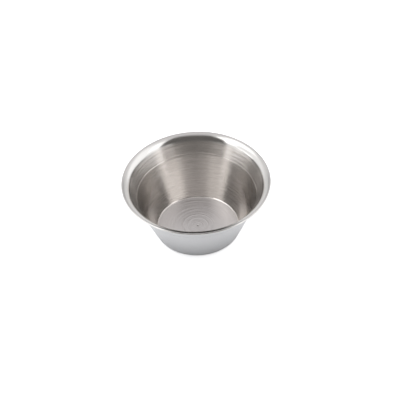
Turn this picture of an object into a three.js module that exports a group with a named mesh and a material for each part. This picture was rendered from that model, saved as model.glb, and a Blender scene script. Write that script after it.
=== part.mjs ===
// Sauce cup: one disc of stainless steel sheet, drawn into a tapered cup with a flat base,
// a drawn ring in the upper wall, a flared mouth and a rolled rim.
// Millimetres, +Z up. The origin is the middle of the base's underside.
import * as THREE from "three";

const degrees = THREE.MathUtils.degToRad;

// Driving dimensions
const RIM_DIAMETER = 76; // outside of the rolled rim
const CUP_HEIGHT = 32; // underside of the base to the top of the rim
const SHEET = 0.5; // thickness of the steel, the same everywhere
const BASE_DIAMETER = 41.4; // flat of the base, up to where it bends into the wall
const BASE_BEND = 1; // inside radius of that bend
const RING_DIAMETER = 61.9; // middle of the sheet at the drawn ring, where the wall leans out a little more
const RING_BELOW_RIM = 9.2; // top of the rim down to the middle of the ring
const RING_BEND = 0.6; // hollow side of the ring's three bends
const RING_FLANK = degrees(14); // how far the ring's flanks turn from the wall
const FLARE_RADIUS = 5.8; // upper face of the flared mouth
const FLARE_END = degrees(18); // slope at which the flare runs into the rolled rim
const CURL_BORE = 0.2; // hollow inside the rolled rim
const CURL_WRAP = degrees(234); // how far the sheet rolls round that hollow

// Facets
const TURN_STEPS = 72; // round the axis
const BEND_STEP = degrees(18); // along a bend, about

// Brushed stainless steel
const STEEL_COLOUR = 0xc9c6c1;
const STEEL_ROUGHNESS = 0.3;

const QUARTER_TURN = Math.PI / 2;
const HALF_TURN = Math.PI;
const half = SHEET / 2;

// Points of the section are Vector2(radius, height). Radii of bends are to the middle of the sheet.
const baseCentre = new THREE.Vector2(BASE_DIAMETER / 2, SHEET + BASE_BEND);
const baseRadius = BASE_BEND + half;

const curlRadius = CURL_BORE / 2 + half;
const curlOutside = curlRadius + half;
const curlCentre = new THREE.Vector2(RIM_DIAMETER / 2 - curlOutside, CUP_HEIGHT - curlOutside);

// The curl's circle touches the flare's from inside, so both centres are in line with where they meet.
const flareRadius = FLARE_RADIUS - half;
const flareLast = QUARTER_TURN + FLARE_END;
const towardsCurl = new THREE.Vector2(Math.cos(flareLast), Math.sin(flareLast));
const flareCentre = curlCentre.clone().addScaledVector(towardsCurl, curlRadius - flareRadius);

// The wall has two straight runs, which touch the base's bend and the flare and meet at the ring.
const ring = new THREE.Vector2(RING_DIAMETER / 2, CUP_HEIGHT - RING_BELOW_RIM);
const lowerSpan = ring.clone().sub(baseCentre);
const upperSpan = flareCentre.clone().sub(ring);
const lowerLean = Math.atan2(lowerSpan.x, lowerSpan.y) - Math.asin(baseRadius / lowerSpan.length());
const upperLean = Math.atan2(upperSpan.x, upperSpan.y) - Math.asin(flareRadius / upperSpan.length());

// The ring is a shallow groove of three equal bends, even about the line that halves the wall's angle.
const ringRadius = RING_BEND + half;
const middleLean = (lowerLean + upperLean) / 2;
const opening = (upperLean - lowerLean) / 2;
const upWall = new THREE.Vector2(Math.sin(middleLean), Math.cos(middleLean));
const outOfWall = new THREE.Vector2(Math.cos(middleLean), -Math.sin(middleLean));
const flankRise = 2 * ringRadius * Math.sin(RING_FLANK);
const flankDepth = 2 * ringRadius * Math.cos(RING_FLANK);
const reach = flankRise + ringRadius * Math.sin(opening);
const shoulderOut = reach * Math.tan(opening) + ringRadius * Math.cos(opening);
const groove = ring.clone().addScaledVector(outOfWall, shoulderOut - flankDepth);
const shoulders = ring.clone().addScaledVector(outOfWall, shoulderOut);
const lowerShoulder = shoulders.clone().addScaledVector(upWall, -flankRise);
const upperShoulder = shoulders.clone().addScaledVector(upWall, flankRise);

// The sheet's bends from the base to the rim, with straight runs between those that don't touch.
// inward is 1 where the bend's centre is on the inside of the cup, and -1 where it is on the outside.
const lowerFlank = middleLean + RING_FLANK;
const upperFlank = middleLean - RING_FLANK;
const bends = [
  { centre: baseCentre, radius: baseRadius, from: -QUARTER_TURN, to: -lowerLean, inward: 1 },
  {
    centre: lowerShoulder,
    radius: ringRadius,
    from: HALF_TURN - lowerLean,
    to: HALF_TURN - lowerFlank,
    inward: -1,
  },
  { centre: groove, radius: ringRadius, from: -lowerFlank, to: -upperFlank, inward: 1 },
  {
    centre: upperShoulder,
    radius: ringRadius,
    from: HALF_TURN - upperFlank,
    to: HALF_TURN - upperLean,
    inward: -1,
  },
  { centre: flareCentre, radius: flareRadius, from: HALF_TURN - upperLean, to: flareLast, inward: -1 },
  { centre: curlCentre, radius: curlRadius, from: flareLast, to: flareLast - CURL_WRAP, inward: -1 },
];

// One face of the sheet, from the axis to its cut edge: side is 1 for the inside face, -1 for the outside.
function faceOfSheet(side) {
  const points = [new THREE.Vector2(0, half + side * half)];
  for (const { centre, radius, from, to, inward } of bends) {
    const faceRadius = radius - side * inward * half;
    const arc = new THREE.EllipseCurve(centre.x, centre.y, faceRadius, faceRadius, from, to, to < from);
    points.push(...arc.getPoints(Math.round(Math.abs(to - from) / BEND_STEP)));
  }
  return points;
}

// The section goes out along the underside to the cut edge under the rim, and back along the inside.
function drawnCup() {
  const section = [...faceOfSheet(-1), ...faceOfSheet(1).reverse()];
  const geometry = new THREE.LatheGeometry(section, TURN_STEPS).rotateX(QUARTER_TURN);
  const steel = new THREE.MeshStandardMaterial({
    color: STEEL_COLOUR,
    metalness: 1,
    roughness: STEEL_ROUGHNESS,
  });
  const cup = new THREE.Mesh(geometry, steel);
  cup.name = "drawn_cup";
  return cup;
}

const sauceCup = new THREE.Group();
sauceCup.add(drawnCup());

export default sauceCup;
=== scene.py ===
"""Sauce cup of brushed stainless steel on a plain white floor, under soft studio light."""
import math

import bmesh
import bpy
from mathutils import Matrix, Vector


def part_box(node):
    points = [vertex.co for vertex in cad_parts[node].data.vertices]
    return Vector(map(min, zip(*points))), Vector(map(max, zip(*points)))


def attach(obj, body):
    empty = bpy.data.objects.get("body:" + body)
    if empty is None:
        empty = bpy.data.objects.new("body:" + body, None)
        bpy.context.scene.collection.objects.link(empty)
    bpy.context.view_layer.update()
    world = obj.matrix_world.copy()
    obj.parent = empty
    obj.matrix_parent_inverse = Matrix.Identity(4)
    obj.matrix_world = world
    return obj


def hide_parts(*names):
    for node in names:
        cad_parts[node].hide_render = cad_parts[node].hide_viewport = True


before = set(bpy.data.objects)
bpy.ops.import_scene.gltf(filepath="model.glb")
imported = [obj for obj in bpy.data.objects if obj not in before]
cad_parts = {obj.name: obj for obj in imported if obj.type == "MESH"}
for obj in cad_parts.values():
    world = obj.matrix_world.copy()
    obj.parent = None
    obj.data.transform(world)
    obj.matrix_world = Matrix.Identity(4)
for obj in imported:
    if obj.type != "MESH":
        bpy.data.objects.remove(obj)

MM = 0.001
QUARTER_TURN = math.pi / 2
HALF_TURN = math.pi
FULL_TURN = 2 * math.pi

# Sizes of the cup. The rim's radius and the height come from the frame.
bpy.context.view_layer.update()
cup_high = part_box("drawn_cup")[1]
RIM_RADIUS = cup_high.x
CUP_HEIGHT = cup_high.z
SHEET = 0.5 * MM
BASE_FLAT_RADIUS = 20.7 * MM
BASE_BEND = 1.0 * MM  # inside radius of the bend from the base into the wall
FLARE_RADIUS = 4.9 * MM  # upper face of the flared mouth
FLARE_END = math.radians(11)  # slope at which the flare runs into the rolled rim
CURL_BORE = 0.05 * MM  # hollow inside the rolled rim
CURL_WRAP = math.radians(234)  # how far the sheet rolls round that hollow
RING_RADIUS = 30.95 * MM  # middle of the sheet at the drawn ring
RING_BELOW_RIM = 9.2 * MM
RING_BEND = 0.6 * MM  # hollow side of the ring's three bends
RING_FLANK = math.radians(16.5)  # how far the ring's flanks turn from the wall

# Steps of the mesh, round the axis and along the section
TURN_STEPS = 288
BASE_FLAT_STEPS = 24
BASE_BEND_STEPS = 10
LOWER_WALL_STEPS = 36
SHOULDER_STEPS = 3
GROOVE_STEPS = 6
UPPER_WALL_STEPS = 8
FLARE_STEPS = 18
CURL_STEPS = 26
MERGE_WITHIN = 0.001 * MM

# Light tent. Each part has its light, the side that it is on, and the spans of its azimuth and its height
# in degrees, with the softness of their ends. Azimuth goes from the back, 0, to the camera, 180.
# A part covers those before it. What none of them reaches has the back's light.
BACK_LIGHT = (0.9, 0.89, 0.88)
ROOF_LIGHT = (0.82, 0.80, 0.80)
RIGHT_LIGHT = (1.41, 1.40, 1.39)
RIGHT_EDGE_LIGHT = (1.8, 1.78, 1.76)
RIGHT_LOW_LIGHT = (1.5, 1.48, 1.46)
LEFT_LIGHT = (1.18, 1.17, 1.16)
LEFT_FOOT_LIGHT = (2.4, 2.38, 2.36)
LEFT_HIGH_LIGHT = (2.2, 2.18, 2.16)
LEFT_EDGE_LIGHT = (2.15, 2.12, 2.09)
LEFT_LOW_LIGHT = (0.62, 0.61, 0.6)
CAMERA_SIDE_LIGHT = (0.152, 0.144, 0.136)
BACK_BAND_LIGHT = (0.5, 0.5, 0.5)
GAP_LIGHT = (0.03, 0.03, 0.03)
SEEN_BACKGROUND = (1, 1, 1)
NO_START = -300
NO_END = 300
TENT = (
    # Roof and side walls
    (ROOF_LIGHT, "both", (NO_START, NO_END, 10), (45, NO_END, 20)),
    (RIGHT_LIGHT, "right", (50, NO_END, 10), (NO_START, 64, 14)),
    (LEFT_LIGHT, "left", (50, NO_END, 10), (NO_START, 70, 14)),
    # Brighter panels on the side walls
    (LEFT_FOOT_LIGHT, "left", (83, 114, 6), (NO_START, 11, 5)),
    (LEFT_HIGH_LIGHT, "left", (57, NO_END, 6), (42, 68, 5)),
    (RIGHT_EDGE_LIGHT, "right", (102, NO_END, 6), (26, 56, 6)),
    (LEFT_EDGE_LIGHT, "left", (110, NO_END, 6), (24, 56, 6)),
    # Dark where the camera stands, with some light low on both sides of it
    (CAMERA_SIDE_LIGHT, "right", (126, NO_END, 4), (NO_START, 74, 8)),
    (CAMERA_SIDE_LIGHT, "left", (129, NO_END, 4), (NO_START, 74, 8)),
    (RIGHT_LOW_LIGHT, "right", (120, 146, 5), (NO_START, 8, 6)),
    (LEFT_LOW_LIGHT, "left", (128, 148, 5), (NO_START, 8, 6)),
    # Milder band across the back, and a dark gap in its middle
    (BACK_BAND_LIGHT, "both", (NO_START, 32, 6), (29, 40, 4)),
    (GAP_LIGHT, "both", (NO_START, 7, 3), (NO_START, 36, 5)),
)

# White floor, and the light that is added to it where the camera or the metal sees it.
# Near the cup's foot the metal sees less of that light. This is a painted contact shadow, added on top of
# the floor's real shadow there.
FLOOR_RADIUS = 3000 * MM
FLOOR_SEGMENTS = 64
FLOOR_BELOW_CUP = 0.05 * MM
FLOOR_COLOUR = (0.94, 0.95, 0.97, 1)
FLOOR_LIFT = 0.56
FLOOR_LIFT_IN_METAL = 0.24
# Painted contact shadow: the floor's added light, as the metal mirrors it, fades out between these
# distances from the axis.
FOOT_SHADE_FROM = 20.5 * MM
FOOT_SHADE_TO = 31 * MM

# Polishing lines of all the finishes
LINE_DETAIL = 3.0
ANISOTROPIC_TURN = 0.25  # a quarter of a turn, so that the blur runs across the lines

# Inside of the wall, brushed. Each steel goes from the darkest to the lightest of its lines.
WALL_STEEL = ((0.61, 0.585, 0.564), (0.73, 0.702, 0.679))
RIM_STEEL = ((0.66, 0.652, 0.645), (0.69, 0.682, 0.675))
WALL_ANISOTROPY = 1.0
BRUSH_PITCH = 0.9 * MM
BRUSH_AROUND = 2.5
BRUSH_DEPTH = 0.08 * MM
LOWER_WALL_RELIEF = 1.4
UPPER_WALL_RELIEF = 0.55
LOWER_WALL_ROUGHNESS = 0.172
UPPER_WALL_ROUGHNESS = 0.195
RIM_ROUGHNESS = 0.12
BRUSH_ROUGHNESS = 0.04
UPPER_WALL_FROM = 22 * MM
UPPER_WALL_TO = 25 * MM
RIM_FROM = 28 * MM
RIM_TO = 30 * MM
DRAW_LINE_HEIGHT = 27.6 * MM
DRAW_LINE_WIDTH = 0.8 * MM
DRAW_LINE_RELIEF = 0.25

# Inside of the base, turned
BASE_STEEL = ((0.62, 0.602, 0.602), (0.68, 0.661, 0.661))
BASE_ANISOTROPY = 0.4
TURNED_PITCH = 1.1 * MM
TURNED_AROUND = 0.6
TURNED_DEPTH = 0.16 * MM
BASE_ROUGHNESS = 0.27
TURNED_ROUGHNESS = 0.06
TURNED_RINGS = (2.4 * MM, 5.4 * MM, 8.0 * MM, 14.0 * MM)
TURNED_RING_WIDTH = 0.5 * MM
TURNED_RING_RELIEF = 0.25
CENTRE_MARK_RADIUS = 0.7 * MM
CENTRE_MARK_RELIEF = -2.0

# Outside, satin
OUTSIDE_STEEL = ((0.632, 0.636, 0.644), (0.672, 0.676, 0.684))
OUTSIDE_ANISOTROPY = 0.5
SATIN_PITCH = 0.5 * MM
SATIN_AROUND = 3
SATIN_DEPTH = 0.03 * MM
OUTSIDE_ROUGHNESS = 0.15
SATIN_ROUGHNESS = 0.06

# Finishes, in the order of the cup's materials
WALL, BASE, OUTSIDE = range(3)

# Photograph's camera. Its line of sight passes to the right of the underside's middle, and above it.
PHOTO_PIXELS = 400
CAMERA_ELEVATION = math.radians(43.93)
CAMERA_ROLL = math.radians(2.65)
CAMERA_DISTANCE = 904 * MM
CAMERA_FOCUS_PIXELS = 1740
CAMERA_RIGHT = 1.615 * MM
CAMERA_UP = 13.42 * MM
SENSOR_WIDTH = 36
NEAREST_SEEN = 10 * MM
FARTHEST_SEEN = 20000 * MM

# Places of the colour sockets on Blender's Mix node
MIX_COLOURS_IN = slice(6, 8)
MIX_COLOUR_OUT = 2


def turned(centre, radius, angle):
    """Point of the section at an angle from level, seen from a bend's centre."""
    return centre + Vector((math.cos(angle), 0, math.sin(angle))) * radius


def straight(section, tip, end, steps):
    """Runs the sheet on from its tip to end, in equal steps."""
    start = tip.co.copy()
    for step in range(1, steps + 1):
        tip = bmesh.ops.extrude_vert_indiv(section, verts=[tip])["verts"][0]
        tip.co = start.lerp(end, step / steps)
    return tip


def bent(section, tip, centre, angle, steps):
    """Bends the sheet on from its tip about a centre. A positive angle turns it from out to up."""
    made = bmesh.ops.spin(
        section, geom=[tip], cent=centre, axis=(0, -1, 0), angle=angle, steps=steps
    )
    return next(part for part in made["geom_last"] if isinstance(part, bmesh.types.BMVert))


def draw_section(section):
    """Outside face of the sheet, from the middle of the base to the cut edge under the rim."""
    half = SHEET / 2
    base_centre = Vector((BASE_FLAT_RADIUS, 0, SHEET + BASE_BEND))
    base_radius = BASE_BEND + half
    curl_radius = CURL_BORE / 2 + half
    curl_outside = curl_radius + half
    curl_centre = Vector((RIM_RADIUS - curl_outside, 0, CUP_HEIGHT - curl_outside))

    # The curl's circle touches the flare's from inside, so both centres are in line with where they meet.
    flare_radius = FLARE_RADIUS - half
    flare_last = QUARTER_TURN + FLARE_END
    flare_centre = turned(curl_centre, curl_radius - flare_radius, flare_last)

    # The wall has two straight runs, which touch the base's bend and the flare and meet at the ring.
    ring = Vector((RING_RADIUS, 0, CUP_HEIGHT - RING_BELOW_RIM))
    below = ring - base_centre
    above = flare_centre - ring
    lower_lean = math.atan2(below.x, below.z) - math.asin(base_radius / below.length)
    upper_lean = math.atan2(above.x, above.z) - math.asin(flare_radius / above.length)

    # The ring is a shallow groove of three equal bends, even about the line that halves the wall's angle.
    ring_radius = RING_BEND + half
    middle_lean = (lower_lean + upper_lean) / 2
    opening = (upper_lean - lower_lean) / 2
    up_wall = Vector((math.sin(middle_lean), 0, math.cos(middle_lean)))
    out_of_wall = Vector((math.cos(middle_lean), 0, -math.sin(middle_lean)))
    flank_rise = 2 * ring_radius * math.sin(RING_FLANK)
    flank_depth = 2 * ring_radius * math.cos(RING_FLANK)
    reach = flank_rise + ring_radius * math.sin(opening)
    shoulder_out = reach * math.tan(opening) + ring_radius * math.cos(opening)
    groove = ring + out_of_wall * (shoulder_out - flank_depth)
    lower_shoulder = ring + out_of_wall * shoulder_out - up_wall * flank_rise
    upper_shoulder = ring + out_of_wall * shoulder_out + up_wall * flank_rise
    lower_flank = middle_lean + RING_FLANK
    upper_flank = middle_lean - RING_FLANK

    # Each bend: its centre, its radius to the middle of the sheet, 1 where the centre is inside the cup
    # and -1 where it is outside, its first and last angle, its steps, and those of the run before it.
    bends = (
        (base_centre, base_radius, 1, -QUARTER_TURN, -lower_lean, BASE_BEND_STEPS, BASE_FLAT_STEPS),
        (
            lower_shoulder,
            ring_radius,
            -1,
            HALF_TURN - lower_lean,
            HALF_TURN - lower_flank,
            SHOULDER_STEPS,
            LOWER_WALL_STEPS,
        ),
        (groove, ring_radius, 1, -lower_flank, -upper_flank, GROOVE_STEPS, 0),
        (
            upper_shoulder,
            ring_radius,
            -1,
            HALF_TURN - upper_flank,
            HALF_TURN - upper_lean,
            SHOULDER_STEPS,
            0,
        ),
        (flare_centre, flare_radius, -1, HALF_TURN - upper_lean, flare_last, FLARE_STEPS, UPPER_WALL_STEPS),
        (curl_centre, curl_radius, -1, flare_last, flare_last - CURL_WRAP, CURL_STEPS, 0),
    )
    tip = section.verts.new((0, 0, 0))
    for centre, radius, inward, first, last, bend_steps, run_steps in bends:
        if run_steps:
            tip = straight(section, tip, turned(centre, radius + inward * half, first), run_steps)
        tip = bent(section, tip, centre, last - first, bend_steps)


def drawn_cup():
    """The whole cup: its section spun round the axis and given the sheet's thickness."""
    shell = bmesh.new()
    draw_section(shell)
    bmesh.ops.spin(
        shell,
        geom=shell.verts[:] + shell.edges[:],
        cent=(0, 0, 0),
        axis=(0, 0, 1),
        angle=FULL_TURN,
        steps=TURN_STEPS,
        use_merge=True,
    )
    bmesh.ops.remove_doubles(shell, verts=shell.verts[:], dist=MERGE_WITHIN)
    bmesh.ops.recalc_face_normals(shell, faces=shell.faces[:])

    # The faces are turned over, so that the thickness is added on the inside of the cup.
    bmesh.ops.reverse_faces(shell, faces=shell.faces[:])
    thickened = bmesh.ops.solidify(shell, geom=shell.faces[:], thickness=SHEET)
    inside = [part for part in thickened["geom"] if isinstance(part, bmesh.types.BMFace)]
    for face in shell.faces:
        face.smooth = True
        face.material_index = OUTSIDE
    for face in inside:
        middle = face.calc_center_median()
        face.material_index = BASE if middle.xy.length < BASE_FLAT_RADIUS else WALL
    mesh = bpy.data.meshes.new("cup_sheet")
    shell.to_mesh(mesh)
    shell.free()
    cup = bpy.data.objects.new("cup_sheet", mesh)
    bpy.context.scene.collection.objects.link(cup)
    return cup


class Nodes:
    """Shorthand for laying out a node tree."""

    def __init__(self, tree):
        self.tree = tree
        tree.nodes.clear()

    def add(self, kind, settings=None, **inputs):
        """New node with its settings and inputs."""
        node = self.tree.nodes.new(kind)
        for name, value in (settings or {}).items():
            setattr(node, name, value)
        for name, value in inputs.items():
            self.feed(node.inputs[name], value)
        return node

    def feed(self, socket, value):
        """Links an output to a socket, or sets the socket to a constant."""
        if isinstance(value, bpy.types.NodeSocket):
            self.tree.links.new(value, socket)
        else:
            socket.default_value = value

    def math(self, operation, *values):
        """Result of a sum on numbers."""
        node = self.add("ShaderNodeMath", {"operation": operation})
        for socket, value in zip(node.inputs, values):
            self.feed(socket, value)
        return node.outputs[0]

    def vector(self, operation, *values):
        """Result of a sum on vectors."""
        node = self.add("ShaderNodeVectorMath", {"operation": operation})
        for socket, value in zip(node.inputs, values):
            self.feed(socket, value)
        return node.outputs["Value" if operation == "LENGTH" else "Vector"]

    def ramp(self, value, low, high, at_low, at_high):
        """Goes smoothly from at_low to at_high while value goes from low to high."""
        node = self.add("ShaderNodeMapRange", {"interpolation_type": "SMOOTHSTEP"})
        for socket, setting in zip(node.inputs, (value, low, high, at_low, at_high)):
            self.feed(socket, setting)
        return node.outputs[0]

    def between(self, share, first, second):
        """Number that goes smoothly from the first to the second as share goes from 0 to 1."""
        return self.ramp(share, 0.0, 1.0, first, second)

    def blend(self, share, first, second):
        """Colour that goes from the first to the second as share goes from 0 to 1."""
        node = self.add("ShaderNodeMix", {"data_type": "RGBA"}, Factor=share)
        for socket, colour in zip(node.inputs[MIX_COLOURS_IN], (first, second)):
            self.feed(socket, colour if isinstance(colour, bpy.types.NodeSocket) else (*colour, 1))
        return node.outputs[MIX_COLOUR_OUT]


class Steel(Nodes):
    """Steel polished round the cup's axis: its lines run round, and blur what it mirrors across them."""

    def __init__(self, name, anisotropy):
        self.material = bpy.data.materials.new(name)
        self.material.use_nodes = True
        super().__init__(self.material.node_tree)
        place = self.add("ShaderNodeTexCoord").outputs["Object"]
        level = self.vector("MULTIPLY", place, (1, 1, 0))
        self.radius = self.vector("LENGTH", level)
        self.height = self.add("ShaderNodeSeparateXYZ", Vector=place).outputs["Z"]
        self.outward = self.vector("NORMALIZE", level)
        self.along = self.math("ADD", self.radius, self.height)
        self.shader = self.add("ShaderNodeBsdfPrincipled")
        self.shader.inputs["Metallic"].default_value = 1
        self.shader.inputs["Anisotropic"].default_value = anisotropy
        self.shader.inputs["Anisotropic Rotation"].default_value = ANISOTROPIC_TURN
        around = self.vector("CROSS_PRODUCT", (0, 0, 1), self.outward)
        self.feed(self.shader.inputs["Tangent"], around)
        output = self.add("ShaderNodeOutputMaterial")
        self.feed(output.inputs["Surface"], self.shader.outputs["BSDF"])

    def lines(self, pitch, around):
        """Noise drawn out round the axis into lines. A larger around gives shorter lines."""
        turn = self.vector("MULTIPLY", self.outward, (around, around, 0))
        step = self.add("ShaderNodeCombineXYZ", Z=self.math("DIVIDE", self.along, pitch)).outputs[0]
        place = self.vector("ADD", turn, step)
        return self.add("ShaderNodeTexNoise", Vector=place, Scale=1.0, Detail=LINE_DETAIL).outputs[0]

    def mark(self, coordinate, place, width):
        """1 at one place along a coordinate, falling to 0 on both sides of it."""
        away = self.math("ABSOLUTE", self.math("SUBTRACT", coordinate, place))
        return self.ramp(away, 0.0, width, 1.0, 0.0)

    def finish(self, colour, roughness, relief, depth):
        """Material with this colour, roughness and relief, whose height is depth times relief."""
        self.feed(self.shader.inputs["Base Color"], colour)
        self.feed(self.shader.inputs["Roughness"], roughness)
        bump = self.add("ShaderNodeBump", Height=relief, Distance=depth)
        self.feed(self.shader.inputs["Normal"], bump.outputs[0])
        return self.material


def wall_finish():
    """Inside of the wall: brushed round the axis, more gently above the ring, and smoother on the rim."""
    steel = Steel("brushed_wall", WALL_ANISOTROPY)
    brushed = steel.lines(BRUSH_PITCH, BRUSH_AROUND)
    upper = steel.ramp(steel.height, UPPER_WALL_FROM, UPPER_WALL_TO, 0.0, 1.0)
    rim = steel.ramp(steel.height, RIM_FROM, RIM_TO, 0.0, 1.0)
    colour = steel.blend(rim, steel.blend(brushed, *WALL_STEEL), steel.blend(brushed, *RIM_STEEL))
    roughness = steel.between(upper, LOWER_WALL_ROUGHNESS, UPPER_WALL_ROUGHNESS)
    roughness = steel.between(rim, roughness, RIM_ROUGHNESS)
    roughness = steel.math("MULTIPLY_ADD", brushed, BRUSH_ROUGHNESS, roughness)
    relief = steel.math("MULTIPLY", brushed, steel.between(upper, LOWER_WALL_RELIEF, UPPER_WALL_RELIEF))
    draw_line = steel.mark(steel.height, DRAW_LINE_HEIGHT, DRAW_LINE_WIDTH)
    relief = steel.math("MULTIPLY_ADD", draw_line, DRAW_LINE_RELIEF, relief)
    return steel.finish(colour, roughness, relief, BRUSH_DEPTH)


def base_finish():
    """Inside of the base: turned, so it shows rings round a small mark in the middle."""
    steel = Steel("turned_base", BASE_ANISOTROPY)
    turned_lines = steel.lines(TURNED_PITCH, TURNED_AROUND)
    colour = steel.blend(turned_lines, *BASE_STEEL)
    roughness = steel.math("MULTIPLY_ADD", turned_lines, TURNED_ROUGHNESS, BASE_ROUGHNESS)
    relief = steel.ramp(steel.radius, 0.0, CENTRE_MARK_RADIUS, CENTRE_MARK_RELIEF, 0.0)
    relief = steel.math("ADD", relief, turned_lines)
    for place in TURNED_RINGS:
        ring = steel.mark(steel.radius, place, TURNED_RING_WIDTH)
        relief = steel.math("MULTIPLY_ADD", ring, TURNED_RING_RELIEF, relief)
    return steel.finish(colour, roughness, relief, TURNED_DEPTH)


def outside_finish():
    """Outside of the cup: satin."""
    steel = Steel("satin_outside", OUTSIDE_ANISOTROPY)
    satin = steel.lines(SATIN_PITCH, SATIN_AROUND)
    colour = steel.blend(satin, *OUTSIDE_STEEL)
    roughness = steel.math("MULTIPLY_ADD", satin, SATIN_ROUGHNESS, OUTSIDE_ROUGHNESS)
    return steel.finish(colour, roughness, satin, SATIN_DEPTH)


def white_floor():
    """Floor's paint. The camera and the metal see it lighter than the tent lights it."""
    material = bpy.data.materials.new("white_floor")
    material.use_nodes = True
    nodes = Nodes(material.node_tree)
    ray = nodes.add("ShaderNodeLightPath")
    mirrored = nodes.math("MAXIMUM", ray.outputs["Is Glossy Ray"], ray.outputs["Is Transmission Ray"])
    distance = nodes.vector("LENGTH", nodes.add("ShaderNodeTexCoord").outputs["Object"])
    # Painted contact shadow: the light that the metal sees on the floor fades out near the cup's foot.
    lift_in_metal = nodes.ramp(distance, FOOT_SHADE_FROM, FOOT_SHADE_TO, 0, FLOOR_LIFT_IN_METAL)
    lift = nodes.math("MULTIPLY", mirrored, lift_in_metal)
    lift = nodes.math("MULTIPLY_ADD", ray.outputs["Is Camera Ray"], FLOOR_LIFT, lift)
    paint = nodes.add("ShaderNodeBsdfDiffuse", Color=FLOOR_COLOUR)
    glow = nodes.add("ShaderNodeEmission", Strength=lift)
    both = nodes.add("ShaderNodeAddShader")
    nodes.feed(both.inputs[0], paint.outputs[0])
    nodes.feed(both.inputs[1], glow.outputs[0])
    nodes.add("ShaderNodeOutputMaterial", Surface=both.outputs[0])
    return material


def floor():
    """Round white floor, a hair below the cup."""
    sheet = bmesh.new()
    bmesh.ops.create_circle(sheet, cap_ends=True, radius=FLOOR_RADIUS, segments=FLOOR_SEGMENTS)
    bmesh.ops.translate(sheet, verts=sheet.verts[:], vec=(0, 0, -FLOOR_BELOW_CUP))
    mesh = bpy.data.meshes.new("floor")
    sheet.to_mesh(mesh)
    sheet.free()
    mesh.materials.append(white_floor())
    plane = bpy.data.objects.new("floor", mesh)
    bpy.context.scene.collection.objects.link(plane)


def studio():
    """Light tent: a bright wall on each side, a milder back and roof, and dark where the camera stands."""
    world = bpy.data.worlds.new("studio")
    bpy.context.scene.world = world
    world.use_nodes = True
    nodes = Nodes(world.node_tree)
    direction = nodes.add("ShaderNodeTexCoord").outputs["Generated"]
    parts = nodes.add("ShaderNodeSeparateXYZ", Vector=direction)
    turn = nodes.math("ARCTAN2", parts.outputs["X"], parts.outputs["Y"])
    azimuths = {
        "right": turn,
        "left": nodes.math("MULTIPLY", turn, -1.0),
        "both": nodes.math("ABSOLUTE", turn),
    }
    height = nodes.math("ARCSINE", parts.outputs["Z"])

    def span(angle, low, high, edge):
        """Share that is 1 between two angles in degrees, with soft edges."""
        rise = nodes.ramp(angle, math.radians(low - edge), math.radians(low + edge), 0.0, 1.0)
        fall = nodes.ramp(angle, math.radians(high - edge), math.radians(high + edge), 1.0, 0.0)
        return nodes.math("MULTIPLY", rise, fall)

    light = BACK_LIGHT
    for colour, side, azimuth_span, height_span in TENT:
        share = nodes.math("MULTIPLY", span(azimuths[side], *azimuth_span), span(height, *height_span))
        light = nodes.blend(share, light, colour)

    # The camera itself sees plain white.
    ray = nodes.add("ShaderNodeLightPath")
    seen = nodes.math("MAXIMUM", ray.outputs["Is Camera Ray"], ray.outputs["Is Transmission Ray"])
    background = nodes.add("ShaderNodeBackground", Color=nodes.blend(seen, light, SEEN_BACKGROUND))
    nodes.add("ShaderNodeOutputWorld", Surface=background.outputs[0])


def photo_camera():
    """Camera that sees the cup as the photograph does."""
    camera = bpy.data.cameras.new("photo_camera")
    camera.sensor_width = SENSOR_WIDTH
    camera.lens = CAMERA_FOCUS_PIXELS / PHOTO_PIXELS * SENSOR_WIDTH
    camera.clip_start = NEAREST_SEEN
    camera.clip_end = FARTHEST_SEEN
    back = Vector((0, -math.cos(CAMERA_ELEVATION), math.sin(CAMERA_ELEVATION)))
    right = Vector((1, 0, 0))
    up = back.cross(right)
    eye = back * CAMERA_DISTANCE + right * CAMERA_RIGHT + up * CAMERA_UP
    turned_right = right * math.cos(CAMERA_ROLL) - up * math.sin(CAMERA_ROLL)
    turned_up = back.cross(turned_right)
    view = Matrix((turned_right, turned_up, back)).transposed().to_4x4()
    view.translation = eye
    rig = bpy.data.objects.new("photo_camera", camera)
    rig.matrix_world = view
    bpy.context.scene.collection.objects.link(rig)
    bpy.context.scene.camera = rig


cup = drawn_cup()
for finish in (wall_finish, base_finish, outside_finish):
    cup.data.materials.append(finish())
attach(cup, "root")
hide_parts("drawn_cup")
floor()
studio()
photo_camera()
bpy.context.scene.view_settings.view_transform = "Standard"
